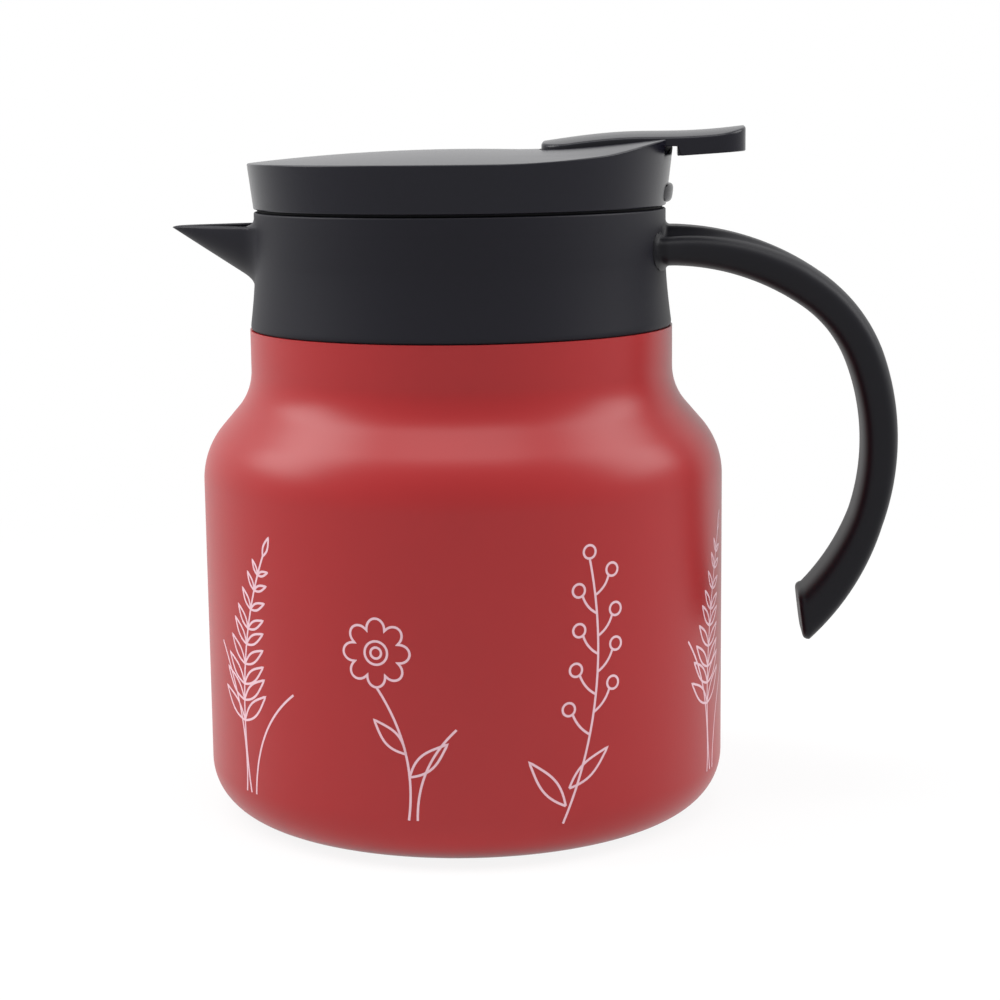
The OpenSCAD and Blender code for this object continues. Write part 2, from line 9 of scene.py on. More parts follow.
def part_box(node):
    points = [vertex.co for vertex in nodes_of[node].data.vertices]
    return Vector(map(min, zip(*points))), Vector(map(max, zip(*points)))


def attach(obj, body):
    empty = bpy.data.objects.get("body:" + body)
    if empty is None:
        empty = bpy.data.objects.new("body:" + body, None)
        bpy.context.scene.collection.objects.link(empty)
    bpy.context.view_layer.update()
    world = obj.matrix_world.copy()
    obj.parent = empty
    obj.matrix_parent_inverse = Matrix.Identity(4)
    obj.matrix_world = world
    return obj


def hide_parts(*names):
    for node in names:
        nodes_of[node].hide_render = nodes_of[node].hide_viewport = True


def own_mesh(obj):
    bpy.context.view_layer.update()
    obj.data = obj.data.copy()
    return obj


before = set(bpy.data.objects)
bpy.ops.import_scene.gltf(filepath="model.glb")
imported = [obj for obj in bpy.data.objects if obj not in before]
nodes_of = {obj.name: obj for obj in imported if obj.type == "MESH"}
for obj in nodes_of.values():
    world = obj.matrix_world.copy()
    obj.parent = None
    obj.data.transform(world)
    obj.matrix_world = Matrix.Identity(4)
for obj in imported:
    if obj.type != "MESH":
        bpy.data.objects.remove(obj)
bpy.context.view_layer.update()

# Camera
# A plain tabletop product camera: a little above the rim, half a metre off, turned so that the handle
# stands to the right and comes slightly forward.
LENS, SENSOR, NEAREST, FARTHEST = 82.4, 36.0, 0.05, 20.0
CAMERA_AT = Vector((0.0469, -0.5521, 0.1666))
CAMERA_YAW, CAMERA_PITCH, CAMERA_ROLL = np.radians([-3.94, 9.49, -0.64])

ahead = Vector((math.sin(CAMERA_YAW) * math.cos(CAMERA_PITCH),
                math.cos(CAMERA_YAW) * math.cos(CAMERA_PITCH), -math.sin(CAMERA_PITCH)))
level = Vector((math.cos(CAMERA_YAW), -math.sin(CAMERA_YAW), 0.0))
upright = level.cross(ahead)
right = math.cos(CAMERA_ROLL) * level + math.sin(CAMERA_ROLL) * upright
over = -math.sin(CAMERA_ROLL) * level + math.cos(CAMERA_ROLL) * upright
camera = bpy.data.objects.new("camera", bpy.data.cameras.new("camera"))
camera.data.lens, camera.data.sensor_width = LENS, SENSOR
camera.data.clip_start, camera.data.clip_end = NEAREST, FARTHEST
camera.matrix_world = Matrix.Translation(CAMERA_AT) @ Matrix((right, over, -ahead)).transposed().to_4x4()
bpy.context.scene.collection.objects.link(camera)
bpy.context.scene.camera = camera

# Steel body
# The flask's outer wall: 0.6 mm stainless sheet, spun to its shoulder and neck, hemmed at the foot,
# and sprayed with a red satin powder coat that is baked to a very fine orange peel.
MM, MERGED_WITHIN, CREASE = 0.001, 2e-7, math.radians(35)
SHELL_R, FOOT_ROUND, SHEET = 62.97, 12.5, 0.6
SHOULDER_Z, SHOULDER_ROUND, SLOPE = 81.0, 19.1, math.radians(41)
NECK_Z, NECK_R, NECK_ROUND = 107.332, 50.9, 14.1
SEAM_Z = NECK_Z + 9.75
MOUTH_Z = SEAM_Z + 3.9
STEP_R, WELD_R = 48.7, 43.1
HEM_R, HEM_ROUND, BASE_RECESS = 48.3, 0.5, 2.6
MOTTLE_SCALE, WEAR = 45.0, 0.08


def skin(name, points, ring=True):
    """Sheet of four-sided faces over a grid of points (row, column, xyz) in millimetres. Columns run round
    and join; rows join last to first when ring is true. Points that fall together, as at a pole, become
    one."""
    rows, columns = points.shape[:2]
    low = np.arange(rows if ring else rows - 1)[:, None] * columns
    high = (low + columns) % (rows * columns)
    here = np.arange(columns)[None, :]
    beside = (here + 1) % columns
    faces = np.stack([low + here, low + beside, high + beside, high + here], -1).reshape(-1, 4)
    mesh = bpy.data.meshes.new(name)
    mesh.from_pydata((points.reshape(-1, 3) * MM).tolist(), [], faces.tolist())
    return smooth_piece(name, mesh)


def smooth_piece(name, mesh):
    """Object for a mesh: doubles merged, faces outward, shaded smooth but sharp past the crease angle."""
    work = bmesh.new()
    work.from_mesh(mesh)
    bmesh.ops.remove_doubles(work, verts=work.verts, dist=MERGED_WITHIN)
    bmesh.ops.recalc_face_normals(work, faces=work.faces)
    work.to_mesh(mesh)
    work.free()
    mesh.shade_smooth()
    mesh.set_sharp_from_angle(angle=CREASE)
    piece = bpy.data.objects.new(name, mesh)
    bpy.context.scene.collection.objects.link(piece)
    return piece


def polar(radius, turn, height):
    """Points at a radius and a turn about the jug's axis and at a height, on the grid that the three span."""
    return np.stack(np.broadcast_arrays(radius * np.cos(turn), radius * np.sin(turn), height), -1)


def turned(name, profile, steps=240):
    """Body of revolution: each point (radius, height) of a profile is carried once round the axis."""
    turn = np.linspace(0, 2 * np.pi, steps, endpoint=False)
    return skin(name, polar(profile[:, :1], turn, profile[:, 1:]))


def arc(centre_r, centre_z, radius, start, end, count):
    """Points (radius, height) on a circle about a centre, from one angle to the other, in degrees."""
    angle = np.radians(np.linspace(start, end, count))
    return np.stack([centre_r + radius * np.cos(angle), centre_z + radius * np.sin(angle)], -1)


def flask_side(inset):
    """Side of the flask from foot to neck, moved in by inset: three arcs that meet in tangents."""
    slope = math.degrees(SLOPE)
    return np.concatenate([
        arc(SHELL_R - FOOT_ROUND, FOOT_ROUND, FOOT_ROUND - inset, -90, 0, 20),
        arc(SHELL_R - SHOULDER_ROUND, SHOULDER_Z, SHOULDER_ROUND - inset, 0, slope, 24),
        arc(NECK_R + NECK_ROUND, NECK_Z, NECK_ROUND + inset, 180 + slope, 180, 14)])


def finish(name, colour, rough, metal=0.0, grain=0.4, relief=0.02, mottle=0.04, gloss=0.5,
           stretch=(1, 1, 1)):
    """Moulded, coated or brushed surface. Noise of one grain (millimetres) sets a fine relief and varies the
    roughness a little; a much broader noise shifts the colour's brightness by the mottle share."""
    made = bpy.data.materials.new(name)
    made.use_nodes = True
    nodes, links = made.node_tree.nodes, made.node_tree.links
    surface = nodes["Principled BSDF"]
    surface.inputs["Metallic"].default_value = metal
    surface.inputs["Specular IOR Level"].default_value = gloss
    place = nodes.new("ShaderNodeTexCoord")
    drawn = nodes.new("ShaderNodeMapping")
    drawn.inputs["Scale"].default_value = stretch
    links.new(place.outputs["Object"], drawn.inputs["Vector"])
    fine = nodes.new("ShaderNodeTexNoise")
    fine.inputs["Scale"].default_value = 1000 / grain
    fine.inputs["Detail"].default_value = 3.0
    broad = nodes.new("ShaderNodeTexNoise")
    broad.inputs["Scale"].default_value = MOTTLE_SCALE
    broad.inputs["Detail"].default_value = 4.0
    links.new(drawn.outputs["Vector"], fine.inputs["Vector"])
    links.new(place.outputs["Object"], broad.inputs["Vector"])
    shade = nodes.new("ShaderNodeMix")
    shade.data_type = "RGBA"
    shade.inputs[6].default_value = (*[c * (1 - mottle) for c in colour], 1)
    shade.inputs[7].default_value = (*[min(1, c * (1 + mottle)) for c in colour], 1)
    links.new(broad.outputs["Fac"], shade.inputs[0])
    links.new(shade.outputs[2], surface.inputs["Base Color"])
    wear = nodes.new("ShaderNodeMapRange")
    wear.inputs["To Min"].default_value = rough * (1 - WEAR)
    wear.inputs["To Max"].default_value = rough * (1 + WEAR)
    links.new(fine.outputs["Fac"], wear.inputs["Value"])
    links.new(wear.outputs["Result"], surface.inputs["Roughness"])
    bump = nodes.new("ShaderNodeBump")
    bump.inputs["Strength"].default_value = 1.0
    bump.inputs["Distance"].default_value = relief * MM
    links.new(fine.outputs["Fac"], bump.inputs["Height"])
    links.new(bump.outputs["Normal"], surface.inputs["Normal"])
    return made


def dress(piece, material):
    """Gives a piece one material all over."""
    piece.data.materials.clear()
    piece.data.materials.append(material)


red_coat = finish("red_powder_coat", (0.340, 0.0155, 0.0175), 0.36, grain=0.45, relief=0.008, mottle=0.03,
                  gloss=0.31)
steel_body = turned("steel_body", np.concatenate([
    [[HEM_R, BASE_RECESS], [HEM_R, HEM_ROUND]], arc(HEM_R + HEM_ROUND, HEM_ROUND, HEM_ROUND, 180, 270, 6),
    flask_side(0), [[NECK_R, SEAM_Z], [STEP_R, SEAM_Z], [STEP_R, MOUTH_Z], [WELD_R, MOUTH_Z],
                    [WELD_R, MOUTH_Z - SHEET], [STEP_R - SHEET, MOUTH_Z - SHEET],
                    [STEP_R - SHEET, SEAM_Z - SHEET], [NECK_R - SHEET, SEAM_Z - SHEET]],
    flask_side(SHEET)[::-1], [[HEM_R + SHEET, SHEET], [HEM_R + SHEET, BASE_RECESS]]]))
dress(steel_body, red_coat)
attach(steel_body, "flask")
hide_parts("outer_shell")

# Printed sprigs
# Pale line drawings of plants, screen-printed round the body in one ink and baked on. Each line is a thin
# raised film about half a millimetre wide.
LINE_HALF, INK_SUNK, INK_RAISED = 0.27, 0.03, 0.02
STEM_POINTS, FERN_SPREAD, FERN_SLIM = 60, 52, 0.17
STALK_OUT, STALK_UP = 4.2, 5.0
GIRTH, GROUPS = 2 * np.pi * SHELL_R, 3


def bowed(start, end, bow, count=24):
    """Curve from start to end whose middle stands off the straight line by bow, as a parabola."""
    t = np.linspace(0, 1, count)[:, None]
    start, end = np.array(start, float), np.array(end, float)
    side = np.array([end[1] - start[1], start[0] - end[0]]) / np.hypot(*(end - start))
    return start + (end - start) * t + side * bow * 4 * t * (1 - t)


def leaf(root, heading, length, width):
    """Closed leaf outline: it leaves the root, swells to its width before the middle and comes back to a tip.
    Side distance is width * sin(pi t) * (1 - 0.45 t), heading in degrees from upright, clockwise."""
    t = np.linspace(0, 1, 16)
    side = width * np.sin(np.pi * t) * (1 - 0.45 * t)
    along = np.concatenate([t, t[-2::-1]]) * length
    across = np.concatenate([side, -side[-2::-1]])
    turn = math.radians(heading)
    axis, normal = np.array([math.sin(turn), math.cos(turn)]), np.array([math.cos(turn), -math.sin(turn)])
    return np.array(root) + along[:, None] * axis + across[:, None] * normal


def loop(centre, radius, petals=0, depth=0.0, count=40):
    """Closed ring about a centre. Where there are petals, it is pressed in between them by depth, a share of
    the radius, as the 0.6th power of a cosine."""
    t = np.linspace(0, 2 * np.pi, count + 1)
    reach = radius * (1 - depth * (1 - np.abs(np.cos(petals * t / 2)) ** 0.6))
    return np.array(centre) + np.stack([reach * np.sin(t), reach * np.cos(t)], -1)


def frond(foot, tip, bow, pairs, size):
    """Fern: a bowed stem with pairs of leaves that shrink toward the tip, and one leaf at the end."""
    stem = bowed(foot, tip, bow, STEM_POINTS)
    lines = [stem]
    for share in np.linspace(0.30, 0.93, pairs):
        place = int(share * (STEM_POINTS - 1))
        heading = math.degrees(math.atan2(*(stem[place] - stem[place - 1])))
        length = size * (1.25 - share)
        lines += [leaf(stem[place], heading + spread, length, length * FERN_SLIM)
                  for spread in (FERN_SPREAD, -FERN_SPREAD)]
    end_heading = math.degrees(math.atan2(*(stem[-1] - stem[-2])))
    return lines + [leaf(stem[-1], end_heading, size * 0.42, size * 0.08)]


def berry_twig(foot, tip, bow, count, size):
    """Twig: a bowed stem with berries on short stalks, left and right in turn, and one at the tip."""
    stem = bowed(foot, tip, bow, STEM_POINTS)
    lines = [stem, loop(stem[-1] + [0, size], size)]
    for number, share in enumerate(np.linspace(0.35, 0.88, count)):
        side = 1 if number % 2 else -1
        root = stem[int(share * (STEM_POINTS - 1))]
        end = root + np.array([side * STALK_OUT, STALK_UP]) * (1.15 - 0.35 * share)
        lines += [bowed(root, end, side * 0.6, 8), loop(end + [side * size * 0.6, size * 0.8], size)]
    return lines


def open_flower(foot, head, bow, radius):
    """Open flower seen from the front: eight petals about a ringed centre, on a stem with two leaves."""
    head = np.array(head, float)
    stem = bowed(foot, head - [0, radius], bow, 30)
    petals = loop(head, radius, petals=8, depth=0.34, count=160)
    return [stem, petals, loop(head, radius * 0.34), loop(head, radius * 0.16),
            leaf(stem[9], 48, radius * 1.5, radius * 0.3), leaf(stem[14], -44, radius * 1.35, radius * 0.28)]


def printed(name, lines):
    """Ink film: every line becomes a flat bar of four edges, bent round the body. Flat distance round the
    body turns into an angle by the body's radius; the bar runs from inside the coat to a little over it."""
    low, top = SHELL_R - INK_SUNK, SHELL_R + INK_RAISED
    radius = np.array([low, top, top, low])
    corners, faces, base = [], [], 0
    for line in lines:
        run = np.gradient(line, axis=0)
        run /= np.maximum(np.hypot(run[:, 0], run[:, 1]), 1e-9)[:, None]
        normal = np.stack([run[:, 1], -run[:, 0]], -1) * LINE_HALF
        edges = np.stack([line - normal, line - normal, line + normal, line + normal], 1)
        corners.append(polar(radius, edges[..., 0] / SHELL_R - np.pi / 2, edges[..., 1]).reshape(-1, 3))
        row, column = np.meshgrid(np.arange(len(line) - 1) * 4, np.arange(4), indexing="ij")
        beside = (column + 1) % 4
        sides = np.stack([row + column, row + beside, row + 4 + beside, row + 4 + column], -1).reshape(-1, 4)
        last = (len(line) - 1) * 4
        faces.append(np.concatenate([sides, [[0, 1, 2, 3], [last + 3, last + 2, last + 1, last]]]) + base)
        base += len(line) * 4
    mesh = bpy.data.meshes.new(name)
    mesh.from_pydata((np.concatenate(corners) * MM).tolist(), [], np.concatenate(faces).tolist())
    return smooth_piece(name, mesh)


# Points are the distance round the body, from the side that the camera faces, and the height.
group = (frond((-53, 12), (-46, 69), bow=-5.0, pairs=9, size=12)
         + [bowed((-55, 12), (-66, 46), 4.0), bowed((-51, 12), (-37, 38), -3.5)]
         + open_flower((-8, 12), (-15, 50), bow=3.0, radius=7.8)
         + [bowed((-6, 12), (3, 33), -2.5)]
         + berry_twig((27, 10), (34, 70), bow=5.0, count=8, size=1.5)
         + [leaf((27.7, 14), -38, 14, 2.3), leaf((28.6, 18), 50, 13, 2.1)])
places = np.arange(GROUPS) * GIRTH / GROUPS
sprigs = printed("printed_sprigs", [line + [place, 0] for place in places for line in group])
dress(sprigs, finish("baked_ink", (0.72, 0.47, 0.53), 0.45, grain=0.3, relief=0.004, mottle=0.05))
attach(sprigs, "flask")

# Foot, liner and vacuum parts
# The recessed bottom plate is pressed stainless, welded in and sealed over its pumping hole; the liner is
# brushed stainless and keeps the drink. Foil and getter sit in the vacuum and never show.
for part, material in (
        ("outer_base", finish("spun_base_steel", (0.55, 0.55, 0.57), 0.34, metal=1.0, grain=0.5,
                              relief=0.004)),
        ("vacuum_seal", finish("seal_bead", (0.40, 0.40, 0.42), 0.45, metal=1.0, grain=1.0, relief=0.01)),
        ("inner_liner", finish("brushed_liner_steel", (0.60, 0.60, 0.62), 0.30, metal=1.0, grain=0.35,
                               relief=0.006, stretch=(1, 1, 0.06))),
        ("radiation_foil", finish("heat_foil", (0.72, 0.42, 0.28), 0.30, metal=1.0, grain=2.0,
                                  relief=0.05)),
        ("getter", finish("getter_metal", (0.35, 0.35, 0.37), 0.55, metal=1.0, grain=0.6, relief=0.02))):
    dress(nodes_of[part], material)

# Collar and spout
# One injection-moulded black plastic ring snapped over the neck: the outside swells softly into a pointed
# spout, and inside it carries the pour gutter and the throat ring that the lid's plug slides through.
COLLAR_H, COLLAR_TOP_R, COLLAR_TAPER, TAPER_SHARE = 27.9, 49.3, 1.5, 0.57
COLLAR_Z = SEAM_Z + COLLAR_H
FOOT_GAP, FOOT_TUCK = 0.15, [[0.35], [0.12], [0.02]]
GUTTER_R, GUTTER_Z, GUTTER_FILLET, SHELF_Z = 47.0, SEAM_Z + 12.5, 2, MOUTH_Z + 0.8
THROAT_R, THROAT_T, THROAT_H, THROAT_EDGE, THROAT_CUT = 39.6, 1.8, 2.8, 0.5, 0.15
SPOUT_REACH, SPOUT_Z, SPOUT_DEPTH, SPOUT_HALF, SPOUT_T = 70.8, COLLAR_Z - 3.3, 15.8, 15.0, 1.6
BEAK_BACK, BEAK_BEHIND, RAY_START, HALVINGS, LEAST = 46.0, -1.8, 18.0, 34, 0.01
WALL_ASIDE, WALL_DOWN, WALL_LEAST, BLEND, INNER_BLEND = 1.2, 1.3, 0.9, 3.0, 0.6
EDGE, RIM_ROUND, RIM_R, RIM_LOW = 0.5, 0.4, COLLAR_TOP_R + 0.02, SPOUT_Z - 1
FLARE_FILLET, FLARE_LEAD, FLARE_HALF, FLARE_FADE = 2.0, 0.1, 0.29, 60


def collar_out(height):
    """Outside radius of the collar: its top radius plus a taper, which falls as the 1.5th power and dies out
    at 57% of its height."""
    share = np.clip(1 - (height - SEAM_Z) / (COLLAR_H * TAPER_SHARE), 0, None)
    return COLLAR_TOP_R + COLLAR_TAPER * share ** 1.5


def beak_reach(turn, height, wall):
    """Radius at which a level ray leaves the beak, found by halving. turn is the angle from the spout. The
    beak's section is (depth / full depth)^2.5 + (side / half width)^2 = 1. At a share s of its run the full
    depth is multiplied by 1 - s and the half width by (1 - s)^0.85, so that both come to nothing at the tip.
    wall moves the surface in, a little further than its own thickness because the skin slopes. Beyond 60
    degrees from the spout the radius is 0."""
    deep = SPOUT_Z - height
    low = np.full(np.broadcast(turn, height).shape, RAY_START)
    high = np.full_like(low, SPOUT_REACH)
    for _ in range(HALVINGS):
        middle = (low + high) / 2
        share = (middle * np.cos(turn) - BEAK_BACK) / (SPOUT_REACH - wall * WALL_ASIDE - BEAK_BACK)
        share = np.clip(share, BEAK_BEHIND, 1)
        half = np.maximum(SPOUT_HALF * (1 - share) ** 0.85 - wall * WALL_ASIDE, LEAST)
        full = np.maximum(SPOUT_DEPTH * (1 - share) - wall * WALL_DOWN, LEAST)
        outside = (np.clip(deep, 0, None) / full) ** 2.5 + (middle * np.sin(turn) / half) ** 2 > 1
        high = np.where(outside, middle, high)
        low = np.where(outside, low, middle)
    return np.where(np.cos(turn) > 0.5, (low + high) / 2, 0)


def soft_max(one, other, blend):
    """The larger of two surfaces, with a fillet where they cross: a parabola over the blend distance."""
    mix = np.clip(0.5 + 0.5 * (one - other) / blend, 0, 1)
    return other + (one - other) * mix + blend * mix * (1 - mix)


def collar_grid(columns=520):
    """Rows of the collar, from its foot up the outside, over the lip, down the inside and the throat, back to
    the foot. Columns crowd toward the spout: the angle is a quarter of its share plus three quarters of its
    cube. Over the lip the radius follows three quarters of a cosine plus a quarter of its cube."""
    share = np.linspace(-1, 1, columns, endpoint=False)[None, :]
    turn = np.pi * (0.25 * share + 0.75 * share ** 3)
    foot, lip_foot = SEAM_Z + FOOT_GAP, SPOUT_Z - EDGE
    out_z = foot + (lip_foot - foot) * np.linspace(0, 1, 60)[:, None]
    outside = soft_max(beak_reach(turn, out_z, 0), collar_out(out_z) + 0 * turn, BLEND)
    outside[:len(FOOT_TUCK)] -= FOOT_TUCK
    in_z = lip_foot - (lip_foot - GUTTER_Z) * np.linspace(0, 1, 36)[:, None]
    climb = np.clip(GUTTER_Z + GUTTER_FILLET - in_z, 0, GUTTER_FILLET)
    foot_fillet = GUTTER_FILLET - np.sqrt(GUTTER_FILLET ** 2 - climb ** 2)
    inside = soft_max(beak_reach(turn, in_z, SPOUT_T), GUTTER_R - foot_fillet + 0 * turn, INNER_BLEND)
    inside = np.minimum(inside, outside[-1] - WALL_LEAST)
    over_lip = np.linspace(0, np.pi, 9)[1:-1, None]
    middle, half = (outside[-1] + inside[0]) / 2, (outside[-1] - inside[0]) / 2
    lip = middle + half * np.cos(over_lip) ** 3 * 0.25 + half * np.cos(over_lip) * 0.75
    lip_z = lip_foot + EDGE * np.sin(over_lip)
    ring_out, ring_top = THROAT_R + THROAT_T, GUTTER_Z + THROAT_H
    throat = np.array([
        [ring_out, GUTTER_Z], [ring_out, ring_top - THROAT_EDGE],
        [ring_out - THROAT_CUT, ring_top - THROAT_CUT], [ring_out - THROAT_EDGE, ring_top],
        [THROAT_R + THROAT_EDGE, ring_top], [THROAT_R + THROAT_CUT, ring_top - THROAT_CUT],
        [THROAT_R, ring_top - THROAT_EDGE], [THROAT_R, SHELF_Z],
        [STEP_R + FOOT_GAP, SHELF_Z], [STEP_R + FOOT_GAP, foot]])
    flat = np.ones_like(turn)
    radius = np.concatenate([outside, lip, inside, throat[:, :1] * flat])
    height = np.concatenate([out_z * flat, lip_z * flat, in_z * flat, throat[:, 1:] * flat])
    return np.stack([-radius * np.cos(turn), radius * np.sin(turn), height], -1)


def rim_ring(columns=360):
    """The collar's top ring, which runs on over the spout: a rounded bar whose outside flares at the spout as
    the rest of a quarter circle of 2 mm. The flare fades out sideways as a logistic curve of the angle."""
    turn = np.linspace(-np.pi, np.pi, columns, endpoint=False)[None, :]
    height = np.linspace(RIM_LOW, COLLAR_Z - RIM_ROUND, 18)[:, None]
    climb = np.clip(height - SPOUT_Z + FLARE_LEAD, 0, FLARE_FILLET)
    near = 1 / (1 + np.exp((np.abs(turn) - FLARE_HALF) * FLARE_FADE))
    flare = (FLARE_FILLET - np.sqrt(FLARE_FILLET ** 2 - (FLARE_FILLET - climb) ** 2)) * near
    corner = np.linspace(0, np.pi / 2, 8)[1:, None]
    top_out = RIM_R - RIM_ROUND * (1 - np.cos(corner))
    top_in = GUTTER_R + EDGE - EDGE * np.sin(corner)
    flat = np.ones_like(turn)
    radius = np.concatenate([RIM_R + flare, top_out * flat, top_in * flat, GUTTER_R * flat, GUTTER_R * flat])
    level_z = np.concatenate([height, COLLAR_Z - RIM_ROUND * (1 - np.sin(corner)),
                              COLLAR_Z - EDGE + EDGE * np.cos(corner), [[COLLAR_Z - 1], [RIM_LOW]]])
    return np.stack([-radius * np.cos(turn), radius * np.sin(turn), level_z * flat], -1)


black_plastic = finish("black_plastic", (0.0046, 0.0043, 0.0085), 0.50, grain=0.35, relief=0.008,
                       mottle=0.05, gloss=0.20)
collar = skin("collar_moulding", collar_grid())
collar_rim = skin("collar_rim", rim_ring())
for piece in (collar, collar_rim):
    dress(piece, black_plastic)
    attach(piece, "flask")
    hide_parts("collar")
silicone = finish("pale_silicone", (0.62, 0.62, 0.58), 0.55, grain=0.6, relief=0.01)
dress(nodes_of["collar_seal"], silicone)

# Handle
# A second moulding of the same plastic, screwed to the collar from inside the gutter: a rounded bar that
# arches back and hooks in at its open end. Its root flares into the collar under a raised spine.
HANDLE_Z, HANDLE_START, HANDLE_LEAD = COLLAR_Z - 8.6, 45, 49.0
BENDS, TURNS, BEND_STEPS = [61.4, 35, 59, 58], [35, 35, 38, 36], 60
THICK, GRIP_HALF, ROOT_HALF, SQUARED = [9.9, 9.1, 8.95, 8.0, 10.7], 10.5, 15.5, 0.6
ROOT_TURN, ROOT_RUN, HUG_R, HUG_END, FILLET = 1.0, 26, 48.3, 53, 1.4
SPINE, SHOULDER, SPINE_EDGE, SPINE_SLOPE, SPINE_RUN = 4.5, 2.3, 0.62, 0.26, 30
GROOVE_DEPTH, GROOVE_HALF, GROOVE_RUN = 0.45, 0.07, 17
TIP_X, TIP_LEAN, TIP_EDGE = 82.6, math.radians(7), 1.5


def handle_track():
    """Centre line as a table: length, distance from the axis, height, heading and thickness. Four bends
    follow the level lead, each a circle arc, and the thickness changes evenly along each."""
    rows = [[0, HANDLE_START, HANDLE_Z, 0, THICK[0]],
            [HANDLE_LEAD - HANDLE_START, HANDLE_LEAD, HANDLE_Z, 0, THICK[0]]]
    for bend, radius in enumerate(BENDS):
        start = rows[-1]
        share = np.linspace(0, 1, BEND_STEPS)[1:]
        heading = start[3] + np.radians(TURNS[bend]) * share
        rows += np.stack([start[0] + radius * np.radians(TURNS[bend]) * share,
                          start[1] + radius * (np.sin(heading) - np.sin(start[3])),
                          start[2] - radius * (np.cos(start[3]) - np.cos(heading)), heading,
                          THICK[bend] + (THICK[bend + 1] - THICK[bend]) * share], -1).tolist()
    return np.array(rows)


def signed_power(wave, power):
    """A sine or cosine raised to a power with its sign kept; powers under 1 turn a circle toward a square."""
    return np.sign(wave) * np.abs(wave) ** power


def handle_surface(length, around):
    """Point of the bar at a length along the track and an angle around it: a squared oval, exponent 0.6.
    Toward the root it widens, and its top turns into a spine between two lower shoulders, whose outer edges
    fall as the root of 1 - q^8 at a share q of the half width, with a groove along each side of the spine.
    Where it meets the round collar, a fillet grows it by the rest of a quarter circle over the distance
    from the wall."""
    x, z, heading, thick = (np.interp(length, track[:, 0], track[:, i]) for i in range(1, 5))
    near_root = heading < ROOT_TURN
    share = np.clip(1 - (x - COLLAR_TOP_R) / ROOT_RUN, 0, 1) * near_root
    half = GRIP_HALF + (ROOT_HALF - GRIP_HALF) * share ** 2
    across, upward = signed_power(np.cos(around), SQUARED), signed_power(np.sin(around), SQUARED)
    side = half * across
    hug = np.sqrt(HUG_R ** 2 - side ** 2)
    place = np.where(x < HUG_END, hug + (x - HANDLE_START) * (HUG_END - hug) / (HUG_END - HANDLE_START), x)
    gap = np.clip(np.hypot(place, side) - COLLAR_TOP_R, 0, FILLET)
    swell = (FILLET - np.sqrt(FILLET ** 2 - (FILLET - gap) ** 2)) * near_root
    q = np.abs(across)
    step = np.clip((SPINE_EDGE - q) / SPINE_SLOPE, 0, 1)
    crown = SHOULDER * (1 - q ** 8) ** 0.5 + (SPINE - SHOULDER) * step ** 2 * (3 - 2 * step)
    groove = GROOVE_DEPTH * np.exp(-((q - SPINE_EDGE) / GROOVE_HALF) ** 2)
    crown = crown - groove * np.clip(1 - (x - COLLAR_TOP_R) / GROOVE_RUN, 0, 1)
    late = np.clip(1 - (x - COLLAR_TOP_R) / SPINE_RUN, 0, 1) * near_root * (upward > 0)
    rise = thick / 2 * upward * (1 - late) + crown * late + swell * upward
    side = side + swell * across
    points = np.broadcast_arrays(place + rise * np.sin(heading), side, z + rise * np.cos(heading))
    return np.stack(points, -1)


def handle_grid(columns=120):
    """Rows of the bar from its closed root end to its tip. The tip is cut by a leaning plane: in the last
    bend each lengthwise line ends where its distance to the plane, even between two rows, is nothing. The
    cut's edge is rounded by a quarter circle and its face is closed to a point."""
    around = np.linspace(0, 2 * np.pi, columns, endpoint=False)[None, :]
    last_bend = track[1 + (BEND_STEPS - 1) * (len(BENDS) - 1), 0]
    tip_normal = np.array([math.cos(TIP_LEAN), 0, math.sin(TIP_LEAN)])
    tip_point = np.array([TIP_X, 0, track[-1, 2]])
    lengths = np.linspace(last_bend, track[-1, 0], 200)[:, None]
    depth = (handle_surface(lengths, around) - tip_point) @ tip_normal - TIP_EDGE
    cross, pick = np.argmax(depth < 0, axis=0), np.arange(columns)
    before, after = depth[cross - 1, pick], depth[cross, pick]
    run = lengths[cross, 0] - lengths[cross - 1, 0]
    end_length = lengths[cross - 1, 0] + run * before / (before - after)
    grip_lengths = np.concatenate([np.linspace(0, 14, 44), np.linspace(15, last_bend, 110)])[:, None]
    grip = handle_surface(grip_lengths, around)
    hook = handle_surface(last_bend + (end_length - last_bend) * np.linspace(0, 1, 44)[1:, None], around)
    rim_loop, middle = hook[-1], hook[-1].mean(0)
    outward = (rim_loop - middle) / np.linalg.norm(rim_loop - middle, axis=1)[:, None]
    turn_in = np.linspace(0, np.pi / 2, 7)[1:, None, None]
    tip_edge = rim_loop - outward * TIP_EDGE * (1 - np.cos(turn_in)) - tip_normal * TIP_EDGE * np.sin(turn_in)

    def closing(ring, shares):
        """Copies of a ring drawn in to shares of its size about its middle."""
        return ring.mean(0) + (ring - ring.mean(0)) * np.array(shares)[:, None, None]

    return np.concatenate([closing(grip[0], [0, 0.4, 0.8]), grip, hook, tip_edge,
                           closing(tip_edge[-1], [0.8, 0.5, 0.2, 0])])


track = handle_track()
handle = skin("handle_bar", handle_grid(), ring=False)
dress(handle, finish("black_handle_plastic", (0.0052, 0.0050, 0.0075), 0.48, grain=0.35, relief=0.008,
                     mottle=0.05, gloss=0.18))
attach(handle, "flask")
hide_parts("handle")
pin_steel = finish("bright_pin_steel", (0.62, 0.62, 0.64), 0.28, metal=1.0, grain=0.3, relief=0.003)
dress(nodes_of["handle_screws"], pin_steel)

